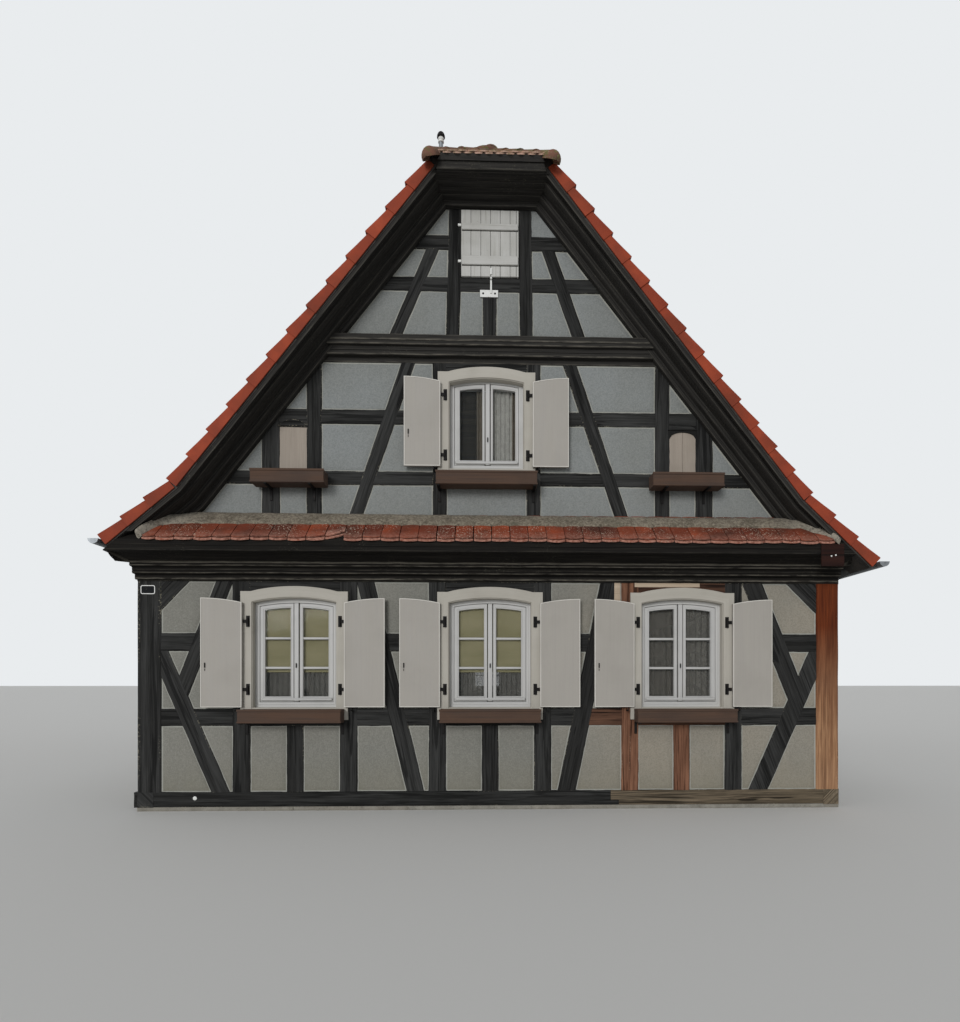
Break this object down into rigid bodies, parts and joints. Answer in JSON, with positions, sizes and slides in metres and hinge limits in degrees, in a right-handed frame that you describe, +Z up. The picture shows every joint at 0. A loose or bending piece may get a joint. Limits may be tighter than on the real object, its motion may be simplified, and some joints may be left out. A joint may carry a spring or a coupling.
{
  "type": "half-timbered house",
  "caption": "Half-timbered farmhouse with its gable to the front, two attic storeys, a half-hipped tiled roof, a tiled strip over the ground floor, and hinged window shutters.",
  "frame": {"origin": "middle of the house's plan, on the underside of the footing, where it stands on the ground", "axes": "+Z up; the front gable looks along -Y; +X to the right of someone who faces the front gable; the ridge runs along Y"},
  "size_m": [8.58, 13.1762, 7.9928],
  "materials": {
    "stone": "rough",
    "floor_boards": "planed",
    "old_timber": "weathered black paint",
    "new_timber": "sawn, untreated",
    "ground_plaster": "roughcast",
    "attic_plaster": "smooth render with pale edges",
    "roof_tile": "weathered clay",
    "mortar": "rough",
    "surround_paint": "off-white paint",
    "sash_paint": "white paint",
    "glass": "clear",
    "shutter_paint": "warm grey paint",
    "black_iron": "black paint",
    "zinc": "dull zinc",
    "blind_cloth": "matt",
    "curtain_cloth": "sheer",
    "door_wood": "stained",
    "box_wood": "stained",
    "white_fittings": "white paint"
  },
  "bodies": {
    "house": {"footing": "stone", "floors": "floor_boards", "gable_sills": "old_timber", "side_sills": "old_timber", "replaced_sill": "new_timber", "corner_posts": "old_timber", "replaced_corner_post": "new_timber", "ground_studs": "old_timber", "replaced_studs": "new_timber", "ground_rails": "old_timber", "replaced_rails": "new_timber", "ground_braces": "old_timber", "ground_panels": "ground_plaster", "gable_beams": "old_timber", "attic_studs": "old_timber", "attic_rails": "old_timber", "attic_braces": "old_timber", "attic_panels": "attic_plaster", "front_cornice": "old_timber", "pent_roof_tiles": "roof_tile", "pent_roof_mortar": "mortar", "raking_cornices": "old_timber", "half_hip_cornices": "old_timber", "eave_plates": "old_timber", "left_roof": "roof_tile", "right_roof": "roof_tile", "eave_roofs": "roof_tile", "half_hips": "roof_tile", "ridge_tiles": "roof_tile", "hip_tiles": "roof_tile", "verge_tiles": "roof_tile", "gutters": "zinc", "downpipes": "zinc", "window_surrounds": "surround_paint", "window_frames": "sash_paint", "window_glass": "glass", "roller_blinds": "blind_cloth", "curtain_rods": "white_fittings", "curtains": "curtain_cloth", "entrance_door": "door_wood", "door_step": "stone", "fixed_shutters": "shutter_paint", "shutter_pintles": "black_iron", "shutter_stops": "black_iron", "attic_hatches": "surround_paint", "hatch_fittings": "white_fittings", "flower_boxes": "box_wood", "wall_plates": "white_fittings", "service_mast": "zinc"},
    "left_window_left_shutter": {"left_window_left_shutter": "shutter_paint"},
    "left_window_right_shutter": {"left_window_right_shutter": "shutter_paint"},
    "middle_window_left_shutter": {"middle_window_left_shutter": "shutter_paint"},
    "middle_window_right_shutter": {"middle_window_right_shutter": "shutter_paint"},
    "right_window_left_shutter": {"right_window_left_shutter": "shutter_paint"},
    "right_window_right_shutter": {"right_window_right_shutter": "shutter_paint"},
    "attic_window_left_shutter": {"attic_window_left_shutter": "shutter_paint"},
    "attic_window_right_shutter": {"attic_window_right_shutter": "shutter_paint"}
  },
  "joints": [
    {"name": "left_window_left_shutter_hinge", "type": "hinge", "parent": "house", "child": "left_window_left_shutter", "pos_m": [-2.758, -6.048, 1.165], "axis": [0, 0, 1], "range_deg": [0, 180]},
    {"name": "left_window_right_shutter_hinge", "type": "hinge", "parent": "house", "child": "left_window_right_shutter", "pos_m": [-1.732, -6.048, 1.165], "axis": [0, 0, 1], "range_deg": [-180, 0]},
    {"name": "middle_window_left_shutter_hinge", "type": "hinge", "parent": "house", "child": "middle_window_left_shutter", "pos_m": [-0.553, -6.048, 1.165], "axis": [0, 0, 1], "range_deg": [0, 180]},
    {"name": "middle_window_right_shutter_hinge", "type": "hinge", "parent": "house", "child": "middle_window_right_shutter", "pos_m": [0.473, -6.048, 1.165], "axis": [0, 0, 1], "range_deg": [-180, 0]},
    {"name": "right_window_left_shutter_hinge", "type": "hinge", "parent": "house", "child": "right_window_left_shutter", "pos_m": [1.652, -6.048, 1.165], "axis": [0, 0, 1], "range_deg": [0, 180]},
    {"name": "right_window_right_shutter_hinge", "type": "hinge", "parent": "house", "child": "right_window_right_shutter", "pos_m": [2.678, -6.048, 1.165], "axis": [0, 0, 1], "range_deg": [-180, 0]},
    {"name": "attic_window_left_shutter_hinge", "type": "hinge", "parent": "house", "child": "attic_window_left_shutter", "pos_m": [-0.548, -6.048, 3.88], "axis": [0, 0, 1], "range_deg": [0, 180]},
    {"name": "attic_window_right_shutter_hinge", "type": "hinge", "parent": "house", "child": "attic_window_right_shutter", "pos_m": [0.388, -6.048, 3.88], "axis": [0, 0, 1], "range_deg": [-180, 0]}
  ]
}
